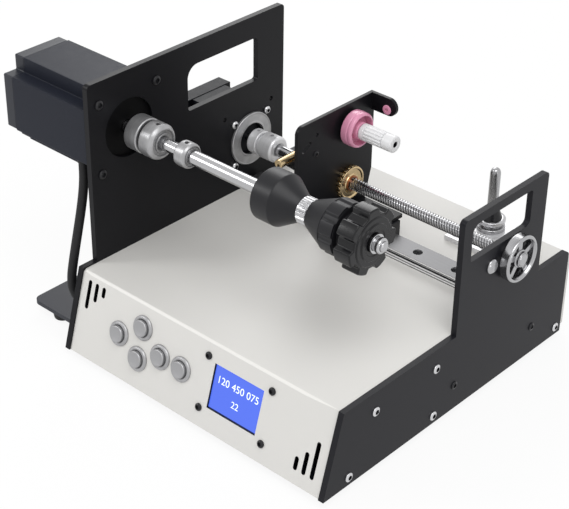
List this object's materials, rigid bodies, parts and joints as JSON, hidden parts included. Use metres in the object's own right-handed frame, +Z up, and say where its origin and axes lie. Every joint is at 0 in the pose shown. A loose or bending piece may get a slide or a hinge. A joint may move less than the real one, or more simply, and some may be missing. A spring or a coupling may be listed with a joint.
{
  "type": "coil winding machine",
  "caption": "Bench coil winding machine: sloped steel cabinet, motor driven spindle with winding cones and a screw driven wire guide carriage.",
  "frame": {"origin": "on the ground under the centre of the machine's outline", "axes": "+X along the spindle towards the handwheel side, +Y to the back, away from the buttons and display, +Z up"},
  "size_m": [0.307, 0.2426, 0.18],
  "materials": {
    "cover_ivory": "fine satin powder coat",
    "plate_black": "matt black powder coat",
    "pan_dark": "matt dark coat",
    "steel": "turned and bright",
    "black_steel": "black oxide",
    "alu": "turned, satin",
    "zinc": "zinc plated",
    "rubber": "matt",
    "black_plastic": "moulded, fine grain",
    "motor_black": "matt black",
    "display": "lit blue panel",
    "board": "circuit board",
    "button_metal": "satin",
    "brass": "turned, bright",
    "pink": "polished ceramic-like pink",
    "white": "moulded white",
    "silver_plate": "satin"
  },
  "bodies": {
    "base": {"cabinet_cover": "cover_ivory", "base_pan": "pan_dark", "left_side_plate": "plate_black", "right_side_plate": "plate_black", "spacer_bars": "zinc", "silver_screws": "zinc", "black_screws": "black_steel", "rubber_feet": "rubber", "outrigger_plate": "plate_black", "lcd_module": "black_plastic", "lcd_glass": "display", "lcd_board": "board", "button_housings": "button_metal", "control_board": "board", "stepper_driver": "pan_dark", "power_inlet": "black_plastic", "spindle_motor_flange": "motor_black", "spindle_motor_body": "motor_black", "spindle_motor_cap": "motor_black", "traverse_motor_body": "motor_black", "pilot_ring": "alu", "screw_bearing": "steel", "dome_screw": "zinc", "linear_rail": "steel", "rail_screws": "black_steel", "post_plate": "alu", "post_rod": "steel", "post_upper_ring": "alu", "post_cone": "black_steel", "motor_cable": "rubber", "cable_glands": "rubber"},
    "spindle": {"motor_shaft": "steel", "coupling_motor_hub": "alu", "coupling_spider": "rubber", "coupling_spindle_hub": "alu", "spindle_shaft": "steel", "stop_collar": "alu", "right_cone": "black_plastic", "spindle_end_nut": "zinc"},
    "sliding_cone": {"left_cone": "black_plastic"},
    "clamp_nut": {"knurled_nut": "zinc"},
    "knob": {"star_knob": "black_plastic"},
    "screw": {"traverse_motor_shaft": "steel", "screw_coupling": "alu", "lead_screw": "steel", "handwheel": "alu"},
    "carriage": {"carriage_block": "black_plastic", "carriage_bracket": "plate_black", "bracket_screws": "zinc", "lead_nut": "brass", "wire_eyelet": "pink", "guide_finger": "brass", "finger_plate": "silver_plate", "guide_nozzle": "white"},
    "wheel": {"guide_wheel": "pink"},
    "button_1": {"button_cap_1": "button_metal"},
    "button_2": {"button_cap_2": "button_metal"},
    "button_3": {"button_cap_3": "button_metal"},
    "button_4": {"button_cap_4": "button_metal"},
    "button_5": {"button_cap_5": "button_metal"}
  },
  "joints": [
    {"name": "spindle_turn", "type": "hinge", "parent": "base", "child": "spindle", "pos_m": [0.03049, -0.06235, 0.1415], "axis": [1, 0, 0], "continuous": true},
    {"name": "cone_slide", "type": "slide", "parent": "spindle", "child": "sliding_cone", "axis": [1, 0, 0], "range_m": [-0.058, 0]},
    {"name": "clamp_nut_turn", "type": "hinge", "parent": "sliding_cone", "child": "clamp_nut", "pos_m": [0.07749, -0.06235, 0.1415], "axis": [1, 0, 0], "continuous": true},
    {"name": "knob_turn", "type": "hinge", "parent": "spindle", "child": "knob", "pos_m": [0.11849, -0.06235, 0.1415], "axis": [1, 0, 0], "continuous": true},
    {"name": "carriage_slide", "type": "slide", "parent": "base", "child": "carriage", "axis": [1, 0, 0], "range_m": [-0.044, 0.08]},
    {"name": "screw_turn", "type": "hinge", "parent": "base", "child": "screw", "pos_m": [0.03049, 0.04515, 0.093], "axis": [1, 0, 0], "range_deg": [-1980, 3600]},
    {"name": "guide_wheel_turn", "type": "hinge", "parent": "carriage", "child": "wheel", "pos_m": [0.02049, 0.04515, 0.133], "axis": [1, 0, 0], "continuous": true},
    {"name": "button_1_press", "type": "slide", "parent": "base", "child": "button_1", "axis": [0, 0.9598, -0.2807], "range_m": [0, 0.0015], "stiffness_N_per_m": 400, "springref_m": -0.0005},
    {"name": "button_2_press", "type": "slide", "parent": "base", "child": "button_2", "axis": [0, 0.9598, -0.2807], "range_m": [0, 0.0015], "stiffness_N_per_m": 400, "springref_m": -0.0005},
    {"name": "button_3_press", "type": "slide", "parent": "base", "child": "button_3", "axis": [0, 0.9598, -0.2807], "range_m": [0, 0.0015], "stiffness_N_per_m": 400, "springref_m": -0.0005},
    {"name": "button_4_press", "type": "slide", "parent": "base", "child": "button_4", "axis": [0, 0.9598, -0.2807], "range_m": [0, 0.0015], "stiffness_N_per_m": 400, "springref_m": -0.0005},
    {"name": "button_5_press", "type": "slide", "parent": "base", "child": "button_5", "axis": [0, 0.9598, -0.2807], "range_m": [0, 0.0015], "stiffness_N_per_m": 400, "springref_m": -0.0005}
  ],
  "couplings": [
    {"joint": "screw_turn", "follows": "carriage_slide", "rad_per_m": 785.4}
  ]
}
